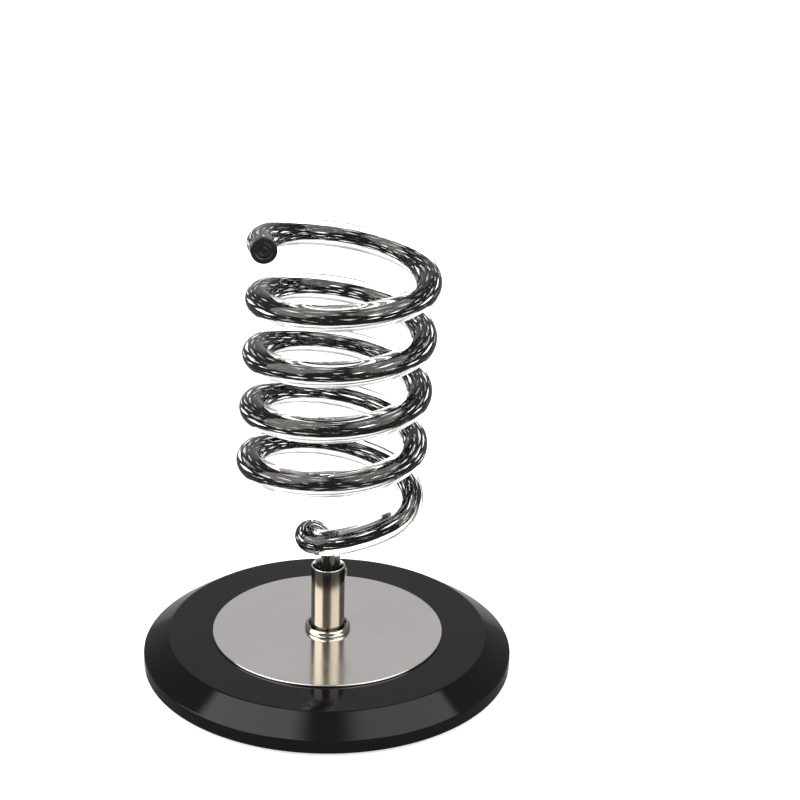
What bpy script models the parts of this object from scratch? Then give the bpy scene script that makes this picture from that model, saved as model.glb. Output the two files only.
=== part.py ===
"""Spiral hair dryer holder: a clear rod with a braided core, wound into a coil that
stands in a steel post on a weighted round base. Metres, +Z up, origin on the floor
under the middle of the base."""

import math

import bmesh
import bpy
from mathutils import Matrix, Vector

MM = 0.001
GAP = 0.3  # clearance between neighbouring solids, in millimetres like every size below
OVERCUT = 1.0  # how far a cutter reaches past the face it opens

# Base
BASE_RADIUS = 110.0
BASE_TOP_RADIUS = 95.1
BASE_HEIGHT = 18.6
BASE_EDGE = 0.6
RIM_HEIGHT = 8.6
PAD_THICKNESS = 1.8
PAD_RADIUS = 105.0
RECESS_RADIUS = 82.0
RECESS_DEPTH = 6.0
POCKET_RADIUS = 12.0
POCKET_DEPTH = 11.0
BALLAST_THICKNESS = 5.0
BALLAST_MARGIN = 0.6
BALLAST_SCREW_CIRCLE = 55.0
BALLAST_SCREWS = 4
BALLAST_SCREW_RADIUS = 2.0
BALLAST_SCREW_REACH = 6.0
BALLAST_HEAD_RADIUS = 3.8
BALLAST_HEAD_DEPTH = 2.3
BALLAST_SLOT = (9.0, 1.1, 1.2)
SCREW_HOLE_RADIUS = 2.3
SCREW_HOLE_DEPTH = 7.0
PLATE_RADIUS = 68.8
PLATE_THICKNESS = 1.0
PLATE_EDGE = 0.2

# Post and its fasteners
POST_RADIUS = 10.0
POST_WALL = 1.5
POST_LENGTH = 42.1
POST_EDGE = 0.3
PLUG_LENGTH = 14.0
PLUG_CEILING = 2.0
COLLAR_RADIUS = 13.6
COLLAR_BORE = 10.7
COLLAR_HEIGHT = 3.3
COLLAR_CROWN = 0.8  # height at which the rounding of the collar starts
BOLT_RADIUS = 4.0
BOLT_BORE = 4.4
BOLT_REACH = 25.0
BOLT_TAPER = 0.8
BOLT_HEAD = 5.3
BOLT_HEAD_RADIUS = 7.5
WASHER_RADIUS = 8.5
WASHER_THICKNESS = 1.6
SPRING_WASHER_RADIUS = 7.0
SPRING_WASHER_THICKNESS = 2.0
SPRING_WASHER_SPLIT = (5.0, 1.2, 4.0)
CLAMP_ANGLE = 50.0  # degrees from +X towards +Y
CLAMP_BELOW_MOUTH = 8.6
CLAMP_SCREW_RADIUS = 2.0
CLAMP_SCREW_TAPER = 0.5
CLAMP_STOP = 0.35  # between the screw's tip and the rod
CLAMP_HEAD_RADIUS = 4.0
CLAMP_HEAD_EDGE = 0.5
CLAMP_HEAD_DOME = 1.9
CLAMP_RECESS = (4.4, 0.8, 2.4)
CLAMP_WASHER_RADIUS = 4.6
CLAMP_WASHER_THICKNESS = 0.7
INSERT_RADIUS = 3.0
INSERT_FLANGE = 4.3
INSERT_FLANGE_THICKNESS = 0.65
INSERT_SLACK = 0.35  # between the insert and the hole in the post's wall
INSERT_INNER = 8.1  # where the insert ends inside the post's bore

# Coil: a right-handed helix that leans a little towards +X
ROD_RADIUS = 7.5
ROD_BORE = 2.9
CORE_RADIUS = 2.5
COIL_RADIUS = 47.5
COIL_PITCH = 32.9
COIL_START = 113.6
COIL_LEAN = 3.26
COIL_STEPS = 54  # steps of 30 degrees: four and a half turns
STEP_ANGLE = math.radians(30.0)
FREE_END_ANGLE = 0.1
FREE_END_LENGTH = 17.5
# Pull points of the hook that brings the rod from the coil's foot to the post's axis
HOOK = (
    (-1.0, 5.5, 72.5),
    (-6.0, 6.0, 82.5),
    (-13.5, -2.5, 87.0),
    (-11.5, -14.5, 85.5),
    (2.5, -20.5, 88.0),
    (16.5, -21.5, 92.0),
    (30.5, -21.0, 97.0),
    (44.5, -16.0, 103.0),
)
FOOT_SPACING = 13.0
TIP_SPACING = 11.0
CORE_STOP = 2.0  # least run from the core's last bend point to its end
BORE_OVERRUN = 5.0
CAP_THICKNESS = 2.0
CAP_RIM = 1.2
CAP_RIM_HEIGHT = 0.7
CAP_DISH = (5.6, 3.4)
CAP_DISH_CENTRE = 3.0
CAP_SPIGOT_RADIUS = 2.0
CAP_SPIGOT_LENGTH = 4.0

BASE_BOTTOM = PAD_THICKNESS + GAP
RIM_TOP = PAD_THICKNESS + RIM_HEIGHT
BASE_TOP = PAD_THICKNESS + BASE_HEIGHT
PLATE_TOP = BASE_TOP + GAP + PLATE_THICKNESS
POST_FOOT = PLATE_TOP + GAP
POST_MOUTH = POST_FOOT + POST_LENGTH
POST_BORE = POST_RADIUS - POST_WALL
PLUG_TOP = POST_FOOT + PLUG_LENGTH
ROD_FOOT = PLUG_TOP + 2 * GAP
CLAMP_HEIGHT = POST_MOUTH - CLAMP_BELOW_MOUTH
RECESS_TOP = BASE_BOTTOM + RECESS_DEPTH
POCKET_TOP = BASE_BOTTOM + POCKET_DEPTH

FINISHES = {
    "black_base": ((0.02, 0.02, 0.022), 0.0, 0.25),
    "brushed_plate": ((0.62, 0.61, 0.59), 1.0, 0.3),
    "polished_steel": ((0.7, 0.68, 0.63), 1.0, 0.15),
    "bright_chrome": ((0.85, 0.85, 0.84), 1.0, 0.06),
    "zinc_steel": ((0.6, 0.6, 0.62), 1.0, 0.4),
    "grey_iron": ((0.2, 0.2, 0.2), 1.0, 0.6),
    "black_foam": ((0.03, 0.03, 0.03), 0.0, 0.9),
    "clear_rod": ((0.9, 0.92, 0.92), 0.0, 0.05),
    "black_net": ((0.015, 0.015, 0.015), 0.0, 0.4),
    "black_cap": ((0.02, 0.02, 0.02), 0.0, 0.3),
}


def clear_scene():
    for item in list(bpy.data.objects):
        bpy.data.objects.remove(item, do_unlink=True)


def new_collection(name):
    collection = bpy.data.collections.new(name)
    bpy.context.scene.collection.children.link(collection)
    return collection


def finish(name):
    """The Principled material of one finish, made once and shared."""
    found = bpy.data.materials.get(name)
    if found:
        return found
    colour, metallic, roughness = FINISHES[name]
    material = bpy.data.materials.new(name)
    material.use_nodes = True
    shader = material.node_tree.nodes["Principled BSDF"]
    shader.inputs["Base Color"].default_value = (*colour, 1.0)
    shader.inputs["Metallic"].default_value = metallic
    shader.inputs["Roughness"].default_value = roughness
    return material


def place(mesh, name, collection, material=None, parent=None):
    piece = bpy.data.objects.new(name, mesh)
    collection.objects.link(piece)
    piece.parent = parent
    if material:
        mesh.materials.append(finish(material))
    return piece


def smooth(piece, angle=35.0):
    piece.data.shade_smooth()
    piece.data.set_sharp_from_angle(angle=math.radians(angle))


def turned(name, outline, collection, material=None, sides=48, ring=False, parent=None):
    """Turns an outline of (radius, height) points, outer side top to bottom, about +Z."""
    mesh = bpy.data.meshes.new(name)
    points = [(radius * MM, 0.0, height * MM) for radius, height in outline]
    edges = [(i, i + 1) for i in range(len(points) - 1)]
    if ring:
        edges.append((len(points) - 1, 0))
    mesh.from_pydata(points, edges, [])
    piece = place(mesh, name, collection, material, parent)
    screw = piece.modifiers.new("turn", "SCREW")
    screw.axis = "Z"
    screw.angle = math.tau
    screw.steps = sides
    screw.render_steps = sides
    screw.use_merge_vertices = True
    screw.merge_threshold = 0.00002
    screw.use_smooth_shade = True
    return piece


def cylinder(name, radius, low, high, collection, material=None, sides=24, parent=None):
    """A plain cylinder about +Z from height low to height high."""
    mesh = bpy.data.meshes.new(name)
    shape = bmesh.new()
    middle = Matrix.Translation((0.0, 0.0, (low + high) / 2 * MM))
    bmesh.ops.create_cone(
        shape,
        cap_ends=True,
        segments=sides,
        radius1=radius * MM,
        radius2=radius * MM,
        depth=(high - low) * MM,
        matrix=middle,
    )
    shape.to_mesh(mesh)
    shape.free()
    return place(mesh, name, collection, material, parent)


def box(name, size, centre, collection):
    """A box of the given size about the given centre."""
    mesh = bpy.data.meshes.new(name)
    shape = bmesh.new()
    scale = Matrix.Diagonal((*(side * MM for side in size), 1.0))
    place_at = Matrix.Translation([value * MM for value in centre])
    bmesh.ops.create_cube(shape, size=1.0, matrix=place_at @ scale)
    shape.to_mesh(mesh)
    shape.free()
    return place(mesh, name, collection)


def combine(piece, tool, operation="DIFFERENCE"):
    """Cuts or joins tool, which becomes a hidden guide."""
    tool.hide_render = True
    tool.display_type = "WIRE"
    modifier = piece.modifiers.new(tool.name, "BOOLEAN")
    modifier.operation = operation
    modifier.solver = "EXACT"
    modifier.object = tool


def arc(centre, radii, start, end, steps):
    """Points of an elliptical arc in (radius, height), angles in degrees."""
    points = []
    for i in range(steps + 1):
        angle = math.radians(start + (end - start) * i / steps)
        radius = centre[0] + radii[0] * math.cos(angle)
        height = centre[1] + radii[1] * math.sin(angle)
        points.append((radius, height))
    return points


def around(radius, count, first=45.0):
    """Places equally spaced on a circle, starting at an angle in degrees."""
    places = []
    for i in range(count):
        angle = math.radians(first) + math.tau * i / count
        places.append((radius * math.cos(angle), radius * math.sin(angle)))
    return places


def helix_pull(step):
    """Pull point of the coil. The radius allows for what the spline rounds off."""
    angle = step * STEP_ANGLE
    radius = COIL_RADIUS * 3.0 / (2.0 + math.cos(STEP_ANGLE))
    rise = COIL_PITCH * angle / math.tau
    point = Vector((radius * math.cos(angle), radius * math.sin(angle), rise))
    lean = Matrix.Rotation(math.radians(COIL_LEAN), 4, "Y")
    return lean @ point + Vector((0.0, 0.0, COIL_START))


def free_end():
    """Where the rod ends and the way it points: a short straight run off the coil."""
    angle = COIL_STEPS * STEP_ANGLE + FREE_END_ANGLE
    rise = COIL_PITCH / math.tau
    lean = Matrix.Rotation(math.radians(COIL_LEAN), 4, "Y")
    point = Vector(
        (COIL_RADIUS * math.cos(angle), COIL_RADIUS * math.sin(angle), rise * angle)
    )
    way = Vector(
        (-COIL_RADIUS * math.sin(angle), COIL_RADIUS * math.cos(angle), rise)
    )
    way = (lean @ way).normalized()
    start = lean @ point + Vector((0.0, 0.0, COIL_START))
    return start + way * FREE_END_LENGTH, way


def rod_path(per_step=2):
    """The rod's centre line, from its foot in the post to its free end, in millimetres."""
    pulls = [Vector((0.0, 0.0, ROD_FOOT + FOOT_SPACING * i)) for i in (-1, 0, 1)]
    pulls += [Vector((0.0, 0.0, POST_MOUTH + lift)) for lift in (-5.5, 1.0)]
    pulls += [Vector(point) for point in HOOK]
    pulls += [helix_pull(step) for step in range(COIL_STEPS + 1)]
    tip, way = free_end()
    pulls += [tip + way * TIP_SPACING * i for i in (-1, 0, 1)]
    path = []
    for a, b, c, d in zip(pulls, pulls[1:], pulls[2:], pulls[3:]):
        for i in range(per_step):
            t = i / per_step
            path.append(
                (
                    a * (1 - t) ** 3
                    + b * (3 * t**3 - 6 * t**2 + 4)
                    + c * (-3 * t**3 + 3 * t**2 + 3 * t + 1)
                    + d * t**3
                )
                / 6
            )
    path.append(tip)
    return path


def swept(name, path, radius, resolution, collection):
    """A round bar along a path, as a closed mesh."""
    curve = bpy.data.curves.new(name, "CURVE")
    curve.dimensions = "3D"
    curve.bevel_depth = radius * MM
    curve.bevel_resolution = resolution
    curve.use_fill_caps = True
    spline = curve.splines.new("POLY")
    spline.points.add(len(path) - 1)
    for point, place_at in zip(spline.points, path):
        point.co = (*(place_at * MM), 1.0)
    bar = bpy.data.objects.new(name, curve)
    collection.objects.link(bar)
    view = bpy.context.evaluated_depsgraph_get()
    mesh = bpy.data.meshes.new_from_object(bar.evaluated_get(view))
    bpy.data.objects.remove(bar, do_unlink=True)
    shape = bmesh.new()
    shape.from_mesh(mesh)
    bmesh.ops.remove_doubles(shape, verts=shape.verts, dist=0.000001)
    bmesh.ops.recalc_face_normals(shape, faces=shape.faces)
    shape.to_mesh(mesh)
    shape.free()
    mesh.materials.clear()
    return place(mesh, name, collection)


def make_pad(parts):
    outline = ((0, PAD_THICKNESS), (PAD_RADIUS, PAD_THICKNESS), (PAD_RADIUS, 0), (0, 0))
    turned("anti_slip_pad", outline, parts, "black_foam", sides=64)


def make_base(parts, cutters):
    """The black disc: wide chamfer, low upright rim, stepped recess underneath."""
    edge = BASE_EDGE
    drop = (BASE_TOP - RIM_TOP) / (BASE_RADIUS - BASE_TOP_RADIUS) * edge
    outline = [
        (BOLT_BORE, BASE_TOP),
        (BASE_TOP_RADIUS - edge, BASE_TOP),
        (BASE_TOP_RADIUS + edge, BASE_TOP - drop),
        (BASE_RADIUS - edge, RIM_TOP + drop),
        (BASE_RADIUS, RIM_TOP - edge),
        (BASE_RADIUS, BASE_BOTTOM + edge),
        (BASE_RADIUS - edge, BASE_BOTTOM),
        (RECESS_RADIUS, BASE_BOTTOM),
        (RECESS_RADIUS, RECESS_TOP),
        (POCKET_RADIUS, RECESS_TOP),
        (POCKET_RADIUS, POCKET_TOP),
        (BOLT_BORE, POCKET_TOP),
    ]
    base = turned("base_disc", outline, parts, "black_base", sides=64, ring=True)
    low, high = RECESS_TOP - OVERCUT, RECESS_TOP + SCREW_HOLE_DEPTH
    radius = SCREW_HOLE_RADIUS
    for number, (x, y) in enumerate(around(BALLAST_SCREW_CIRCLE, BALLAST_SCREWS), 1):
        hole = cylinder(f"base_screw_hole_{number}", radius, low, high, cutters, sides=16)
        hole.location = (x * MM, y * MM, 0.0)
        combine(base, hole)


def make_ballast(parts, cutters):
    """The steel weight in the recess, with its countersunk screws."""
    top = RECESS_TOP - GAP
    low = top - BALLAST_THICKNESS
    outer = RECESS_RADIUS - BALLAST_MARGIN
    outline = ((POCKET_RADIUS, top), (outer, top), (outer, low), (POCKET_RADIUS, low))
    plate = turned("ballast_plate", outline, parts, "grey_iron", sides=48, ring=True)

    shank, head = BALLAST_SCREW_RADIUS, BALLAST_HEAD_RADIUS
    play = SCREW_HOLE_RADIUS - shank
    overcut = 0.4
    sink = (
        (0, top + OVERCUT),
        (shank + play, top + OVERCUT),
        (shank + play, low + BALLAST_HEAD_DEPTH + play),
        (head + play + overcut, low - overcut),
        (0, low - overcut),
    )
    face = low + 0.1
    lip = 0.4
    reach = top + BALLAST_SCREW_REACH
    taper = 0.7
    screw = (
        (0, reach),
        (shank * taper, reach),
        (shank, reach - shank * (1 - taper)),
        (shank, low + BALLAST_HEAD_DEPTH),
        (head, face + lip),
        (head, face),
        (0, face),
    )
    for number, (x, y) in enumerate(around(BALLAST_SCREW_CIRCLE, BALLAST_SCREWS), 1):
        hole = turned(f"ballast_hole_{number}", sink, cutters, sides=16)
        hole.location = (x * MM, y * MM, 0.0)
        combine(plate, hole)
        fixing = turned(f"ballast_screw_{number}", screw, parts, "zinc_steel", sides=16)
        fixing.location = (x * MM, y * MM, 0.0)
        slot = box(f"ballast_slot_{number}", BALLAST_SLOT, (0, 0, face), cutters)
        slot.location = (x * MM, y * MM, 0.0)
        combine(fixing, slot)


def make_face_plate(parts):
    """The thin steel disc let onto the top of the base."""
    low = BASE_TOP + GAP
    outline = (
        (BOLT_BORE, PLATE_TOP),
        (PLATE_RADIUS - PLATE_EDGE, PLATE_TOP),
        (PLATE_RADIUS, PLATE_TOP - PLATE_EDGE),
        (PLATE_RADIUS, low),
        (BOLT_BORE, low),
    )
    turned("face_plate", outline, parts, "brushed_plate", sides=64, ring=True)


def make_post(parts, cutters):
    """The steel tube, the threaded plug in its foot and the collar round it."""
    outline = (
        (POST_BORE + POST_EDGE, POST_MOUTH),
        (POST_RADIUS - POST_EDGE, POST_MOUTH),
        (POST_RADIUS, POST_MOUTH - POST_EDGE),
        (POST_RADIUS, POST_FOOT),
        (POST_BORE, POST_FOOT),
        (POST_BORE, POST_MOUTH - POST_EDGE),
    )
    post = turned("post_tube", outline, parts, "polished_steel", sides=48, ring=True)
    width, reach = INSERT_RADIUS + INSERT_SLACK, 3.0
    hole = cylinder("clamp_hole", width, POST_BORE - reach, POST_RADIUS + reach, cutters)
    aim_at_clamp(hole)
    combine(post, hole)

    outer = POST_BORE - GAP
    thread = BOLT_RADIUS + GAP
    blind = PLUG_TOP - PLUG_CEILING
    plug = (
        (0, PLUG_TOP),
        (outer, PLUG_TOP),
        (outer, POST_FOOT),
        (thread, POST_FOOT),
        (thread, blind),
        (0, blind),
    )
    turned("post_plug", plug, parts, "zinc_steel", sides=32)

    width = (COLLAR_RADIUS - COLLAR_BORE) / 2
    middle = (COLLAR_BORE + width, POST_FOOT + COLLAR_CROWN)
    dome = arc(middle, (width, COLLAR_HEIGHT - COLLAR_CROWN), 165, 0, 6)
    collar = [*dome, (COLLAR_RADIUS, POST_FOOT), (COLLAR_BORE, POST_FOOT)]
    turned("collar_ring", collar, parts, "bright_chrome", sides=36, ring=True)


def make_anchor(parts, cutters):
    """The bolt that draws the post down on the base, with its two washers."""
    top = POCKET_TOP - GAP
    low = top - WASHER_THICKNESS
    bore = BOLT_RADIUS + GAP
    outer = WASHER_RADIUS
    flat = ((bore, top), (outer, top), (outer, low), (bore, low))
    turned("anchor_washer", flat, parts, "zinc_steel", sides=32, ring=True)

    top = low - GAP
    low = top - SPRING_WASHER_THICKNESS
    outer = SPRING_WASHER_RADIUS
    split = ((bore, top), (outer, top), (outer, low), (bore, low))
    spring = turned("anchor_spring_washer", split, parts, "zinc_steel", sides=32, ring=True)
    centre = ((bore + outer) / 2, 0, (top + low) / 2)
    combine(spring, box("spring_washer_split", SPRING_WASHER_SPLIT, centre, cutters))

    under_head = low - GAP
    reach = under_head + BOLT_REACH
    shank = (
        (0, reach),
        (BOLT_RADIUS - BOLT_TAPER, reach),
        (BOLT_RADIUS, reach - BOLT_TAPER),
        (BOLT_RADIUS, under_head - OVERCUT),
        (0, under_head - OVERCUT),
    )
    shank = turned("anchor_shank", shank, cutters, sides=24)
    bolt = cylinder(
        "anchor_bolt",
        BOLT_HEAD_RADIUS,
        under_head - BOLT_HEAD,
        under_head,
        parts,
        "zinc_steel",
        sides=6,
    )
    combine(bolt, shank, "UNION")


def aim_at_clamp(piece):
    """Turns a piece made about +Z onto the clamp screw's axis, outwards from the post."""
    piece.location = (0.0, 0.0, CLAMP_HEIGHT * MM)
    piece.rotation_euler = (0.0, math.pi / 2, math.radians(CLAMP_ANGLE))


def make_clamp(parts, cutters):
    """The threaded insert in the post's wall, and the screw that holds the rod."""
    bore = CLAMP_SCREW_RADIUS + GAP
    seat = POST_RADIUS + INSERT_SLACK
    high = seat + INSERT_FLANGE_THICKNESS
    insert = (
        (bore, high),
        (INSERT_FLANGE, high),
        (INSERT_FLANGE, seat),
        (INSERT_RADIUS, seat),
        (INSERT_RADIUS, INSERT_INNER),
        (bore, INSERT_INNER),
    )
    aim_at_clamp(turned("clamp_insert", insert, parts, "zinc_steel", sides=24, ring=True))

    axis = bpy.data.objects.new("clamp_axis", None)
    parts.objects.link(axis)
    aim_at_clamp(axis)

    low = high + GAP
    high = low + CLAMP_WASHER_THICKNESS
    outer = CLAMP_WASHER_RADIUS
    washer = ((bore, high), (outer, high), (outer, low), (bore, low))
    turned("clamp_washer", washer, parts, "zinc_steel", sides=24, ring=True, parent=axis)

    seat = high + GAP
    edge = seat + CLAMP_HEAD_EDGE
    head = arc((0, edge), (CLAMP_HEAD_RADIUS, CLAMP_HEAD_DOME), 90, 0, 6)
    shank = CLAMP_SCREW_RADIUS
    tip = ROD_RADIUS + CLAMP_STOP
    outline = [
        *head,
        (CLAMP_HEAD_RADIUS, seat),
        (shank, seat),
        (shank, tip + CLAMP_SCREW_TAPER),
        (shank - CLAMP_SCREW_TAPER, tip),
        (0, tip),
    ]
    screw = turned("clamp_screw", outline, parts, "polished_steel", sides=24, parent=axis)
    long, wide, deep = CLAMP_RECESS
    crown = edge + CLAMP_HEAD_DOME
    for name, size in (("long", (long, wide, deep)), ("cross", (wide, long, deep))):
        slot = box(f"screw_recess_{name}", size, (0, 0, crown), cutters)
        slot.parent = axis
        combine(screw, slot)


def make_coil(parts, cutters):
    """The rod, the net core inside it and the cap on its free end: they turn in the post."""
    swivel = bpy.data.objects.new("swivel_axis", None)
    parts.objects.link(swivel)
    path = rod_path()

    rod = swept("spiral_rod", path, ROD_RADIUS, 4, parts)
    rod.data.materials.append(finish("clear_rod"))
    rod.parent = swivel
    smooth(rod)
    first = path[0] + (path[0] - path[1]).normalized() * BORE_OVERRUN
    last = path[-1] + (path[-1] - path[-2]).normalized() * BORE_OVERRUN
    bore = swept("rod_bore", [first, *path[1:-1], last], ROD_BORE, 1, cutters)
    combine(rod, bore)

    tip, way = free_end()
    core_end = tip - way * (CAP_SPIGOT_LENGTH + GAP)
    kept = list(path)
    while (kept[-1] - core_end).dot(way) >= -CORE_STOP:
        kept.pop()
    core = swept("net_core", [*kept, core_end], CORE_RADIUS, 1, parts)
    core.data.materials.append(finish("black_net"))
    core.parent = swivel
    smooth(core)

    top = GAP + CAP_THICKNESS
    dish = arc((0, top + CAP_DISH_CENTRE), CAP_DISH, 270, 300, 3)
    middle = (ROD_RADIUS - CAP_RIM, top - CAP_RIM_HEIGHT)
    rim = arc(middle, (CAP_RIM, CAP_RIM_HEIGHT), 100, 0, 4)
    outline = [
        *dish,
        *rim,
        (ROD_RADIUS, GAP),
        (CAP_SPIGOT_RADIUS, GAP),
        (CAP_SPIGOT_RADIUS, GAP - CAP_SPIGOT_LENGTH),
        (0, GAP - CAP_SPIGOT_LENGTH),
    ]
    cap = turned("tip_cap", outline, parts, "black_cap", sides=24, parent=swivel)
    cap.location = tip * MM
    cap.rotation_euler = way.to_track_quat("Z", "Y").to_euler()


def main():
    clear_scene()
    parts = new_collection("hair_dryer_holder")
    cutters = new_collection("cutters")
    make_pad(parts)
    make_base(parts, cutters)
    make_ballast(parts, cutters)
    make_face_plate(parts)
    make_post(parts, cutters)
    make_anchor(parts, cutters)
    make_clamp(parts, cutters)
    make_coil(parts, cutters)


main()
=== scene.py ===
"""Table-top hair dryer holder: a clear rod round a braided sleeve, wound into a coil
that stands in a steel post on a weighted round base. Metres, +Z up."""

import math

import bmesh
import bpy
import numpy as np
from bpy.props import (
    FloatProperty,
    FloatVectorProperty,
    IntProperty,
    PointerProperty,
)
from mathutils import Matrix, Vector


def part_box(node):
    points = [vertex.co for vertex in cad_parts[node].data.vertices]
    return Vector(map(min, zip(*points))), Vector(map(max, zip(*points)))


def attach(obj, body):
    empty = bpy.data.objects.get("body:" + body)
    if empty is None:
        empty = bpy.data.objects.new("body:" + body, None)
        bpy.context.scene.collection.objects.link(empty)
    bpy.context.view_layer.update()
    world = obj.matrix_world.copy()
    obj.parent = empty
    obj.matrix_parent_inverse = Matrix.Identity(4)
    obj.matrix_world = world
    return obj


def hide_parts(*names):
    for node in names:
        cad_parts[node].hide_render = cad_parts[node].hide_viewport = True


bl_info = {
    "name": "Spiral Dryer Holder",
    "version": (1, 0, 0),
    "blender": (4, 5, 0),
    "location": "3D View > Sidebar > Dryer Holder",
    "description": "Dresses the holder's solid frame piece by piece and sets its stage",
    "category": "Add Mesh",
}

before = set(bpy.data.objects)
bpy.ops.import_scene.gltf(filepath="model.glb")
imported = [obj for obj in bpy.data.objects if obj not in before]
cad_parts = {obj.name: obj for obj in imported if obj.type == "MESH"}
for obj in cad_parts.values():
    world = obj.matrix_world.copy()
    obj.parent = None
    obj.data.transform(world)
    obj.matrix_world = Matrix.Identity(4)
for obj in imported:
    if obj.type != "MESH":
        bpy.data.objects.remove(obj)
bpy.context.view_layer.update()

MM = 0.001
POST_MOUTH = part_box("post_tube")[1].z
ROD_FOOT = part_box("spiral_rod")[0].z
CLAMP_HEIGHT = sum(corner.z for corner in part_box("clamp_washer")) / 2
BOLT_HOLE = 4.4 * MM  # radius of the hole for the bolt that draws the post down


# Settings: the sizes and colours of each piece


class PadSettings(bpy.types.PropertyGroup):
    """The foam pad under the base."""

    radius: FloatProperty(
        name="Radius",
        description="Radius of the pad",
        default=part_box("anti_slip_pad")[1].x,
        unit="LENGTH",
    )
    colour: FloatVectorProperty(
        name="Colour",
        description="Colour of the foam",
        default=(0.022, 0.022, 0.023),
        subtype="COLOR",
    )


class BaseSettings(bpy.types.PropertyGroup):
    """The black base disc."""

    radius: FloatProperty(
        name="Radius",
        description="Radius of the upright rim",
        default=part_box("base_disc")[1].x,
        unit="LENGTH",
    )
    top_radius: FloatProperty(
        name="Top radius",
        description="Radius of the flat top, inside the chamfer",
        default=0.0951,
        unit="LENGTH",
    )
    rim_top: FloatProperty(
        name="Rim top",
        description="Height at which the rim meets the chamfer",
        default=0.0104,
        unit="LENGTH",
    )
    edge: FloatProperty(
        name="Edge",
        description="How far each edge is rounded",
        default=0.0008,
        unit="LENGTH",
    )
    colour: FloatVectorProperty(
        name="Colour",
        description="Colour of the black finish",
        default=(0.0035, 0.0035, 0.0045),
        subtype="COLOR",
    )
    roughness: FloatProperty(
        name="Roughness",
        description="Mean roughness of the black finish",
        default=0.07,
        min=0.0,
        max=1.0,
        subtype="FACTOR",
    )


class PlateSettings(bpy.types.PropertyGroup):
    """The thin steel disc on the base."""

    radius: FloatProperty(
        name="Radius",
        description="Radius of the plate",
        default=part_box("face_plate")[1].x,
        unit="LENGTH",
    )
    edge: FloatProperty(
        name="Edge",
        description="How far the upper edge is rounded",
        default=0.0005,
        unit="LENGTH",
    )
    colour: FloatVectorProperty(
        name="Colour",
        description="Colour of the satin steel",
        default=(0.86, 0.835, 0.815),
        subtype="COLOR",
    )
    roughness: FloatProperty(
        name="Roughness",
        description="Mean roughness of the satin steel",
        default=0.15,
        min=0.0,
        max=1.0,
        subtype="FACTOR",
    )


class PostSettings(bpy.types.PropertyGroup):
    """The steel post and its collar."""

    radius: FloatProperty(
        name="Radius",
        description="Outer radius of the post",
        default=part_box("post_tube")[1].x,
        unit="LENGTH",
    )
    wall: FloatProperty(
        name="Wall",
        description="Thickness of the tube's wall",
        default=0.0015,
        unit="LENGTH",
    )
    collar_radius: FloatProperty(
        name="Collar radius",
        description="Outer radius of the collar",
        default=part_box("collar_ring")[1].x,
        unit="LENGTH",
    )
    collar_bore: FloatProperty(
        name="Collar bore",
        description="Radius of the collar's hole",
        default=0.0107,
        unit="LENGTH",
    )
    colour: FloatVectorProperty(
        name="Colour",
        description="Colour of the polished steel",
        default=(0.31, 0.28, 0.235),
        subtype="COLOR",
    )
    collar_colour: FloatVectorProperty(
        name="Collar colour",
        description="Colour of the chrome",
        default=(0.5, 0.49, 0.46),
        subtype="COLOR",
    )


class ClampSettings(bpy.types.PropertyGroup):
    """The screw in the post's wall that holds the rod."""

    angle: FloatProperty(
        name="Angle",
        description="Where the screw sits round the post, from +X towards +Y",
        default=math.radians(50.0),
        subtype="ANGLE",
    )
    head_radius: FloatProperty(
        name="Head radius",
        description="Radius of the screw's head",
        default=0.004,
        unit="LENGTH",
    )
    washer_radius: FloatProperty(
        name="Washer radius",
        description="Radius of the washer under the head",
        default=0.0046,
        unit="LENGTH",
    )
    shank_radius: FloatProperty(
        name="Shank radius",
        description="Radius of the screw's thread",
        default=0.002,
        unit="LENGTH",
    )
    colour: FloatVectorProperty(
        name="Colour",
        description="Colour of the plated screw",
        default=(0.78, 0.78, 0.77),
        subtype="COLOR",
    )


class CoilSettings(bpy.types.PropertyGroup):
    """The clear rod's run: hook, helix and free end."""

    rod_radius: FloatProperty(
        name="Rod radius",
        description="Radius of the clear rod",
        default=0.0075,
        unit="LENGTH",
    )
    bore_radius: FloatProperty(
        name="Bore radius",
        description="Radius of the bore, at the strands' inner side",
        default=0.00255,
        unit="LENGTH",
    )
    radius: FloatProperty(
        name="Coil radius",
        description="Radius of the coil at the middle of the rod",
        default=0.0475,
        unit="LENGTH",
    )
    pitch: FloatProperty(
        name="Pitch",
        description="Rise of one turn",
        default=0.0329,
        unit="LENGTH",
    )
    start: FloatProperty(
        name="Start",
        description="Height at which the coil starts",
        default=0.1136,
        unit="LENGTH",
    )
    lean: FloatProperty(
        name="Lean",
        description="Lean of the coil's axis towards +X",
        default=math.radians(3.26),
        subtype="ANGLE",
    )
    free_end: FloatProperty(
        name="Free end",
        description="Length of the straight run off the top turn",
        default=0.0175,
        unit="LENGTH",
    )
    sides: IntProperty(
        name="Sides",
        description="Facets round the rod",
        default=56,
        min=12,
    )
    clarity: FloatVectorProperty(
        name="Clear colour",
        description="Tint of the clear rod",
        default=(0.975, 0.985, 0.985),
        subtype="COLOR",
    )


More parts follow.
